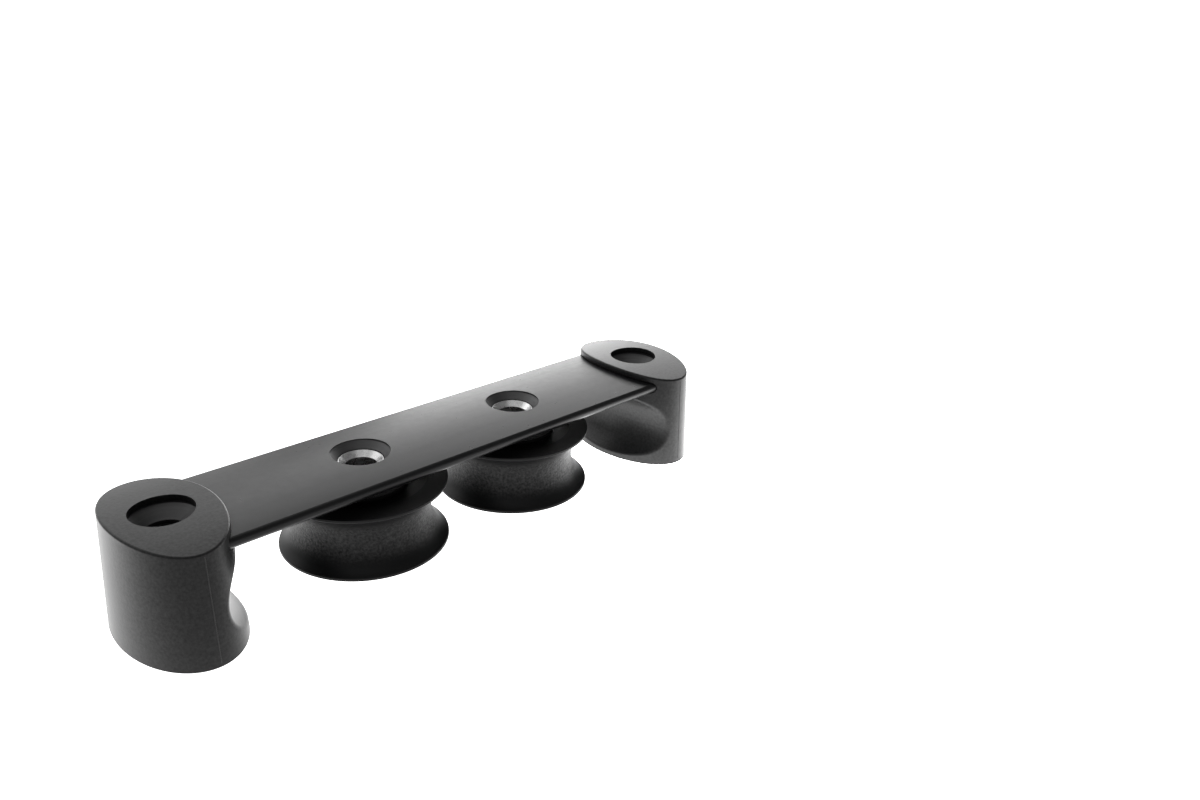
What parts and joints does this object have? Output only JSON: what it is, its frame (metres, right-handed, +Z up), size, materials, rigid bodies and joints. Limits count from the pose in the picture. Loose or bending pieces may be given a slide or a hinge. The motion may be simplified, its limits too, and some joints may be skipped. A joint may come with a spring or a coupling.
{
  "type": "rope deck organizer",
  "caption": "Deck organizer: grooved sheaves turn on bushes under a crowned plate whose ends sit in moulded posts; bolts pass through to the deck.",
  "frame": {"origin": "middle of the footprint, on the deck", "axes": "+X along the plate, +Y across it, +Z up from the deck"},
  "size_m": [0.2036, 0.05, 0.0339],
  "materials": {
    "anodised_plate": "dark hard-anodised, satin",
    "black_composite": "black fibre-filled plastic, satin moulded skin",
    "black_sheave": "black plastic, turned or moulded, satin",
    "stainless": "turned stainless steel",
    "bearing_plastic": "natural bearing plastic, smooth",
    "washer_plastic": "black low-friction plastic, smooth"
  },
  "bodies": {
    "frame": {"top_plate": "anodised_plate", "end_post_left": "black_composite", "end_post_right": "black_composite", "sheave_bush_left": "stainless", "upper_spacer_left": "washer_plastic", "thrust_washer_left": "washer_plastic", "sheave_bush_right": "stainless", "upper_spacer_right": "washer_plastic", "thrust_washer_right": "washer_plastic"},
    "sheave_left_body": {"sheave_left": "black_sheave", "bearing_liner_left": "bearing_plastic"},
    "sheave_right_body": {"sheave_right": "black_sheave", "bearing_liner_right": "bearing_plastic"}
  },
  "joints": [
    {"name": "sheave_left_spin", "type": "hinge", "parent": "frame", "child": "sheave_left_body", "pos_m": [-0.02875, 0, 0.01335], "axis": [0, 0, 1], "continuous": true},
    {"name": "sheave_right_spin", "type": "hinge", "parent": "frame", "child": "sheave_right_body", "pos_m": [0.02875, 0, 0.01335], "axis": [0, 0, 1], "continuous": true}
  ]
}
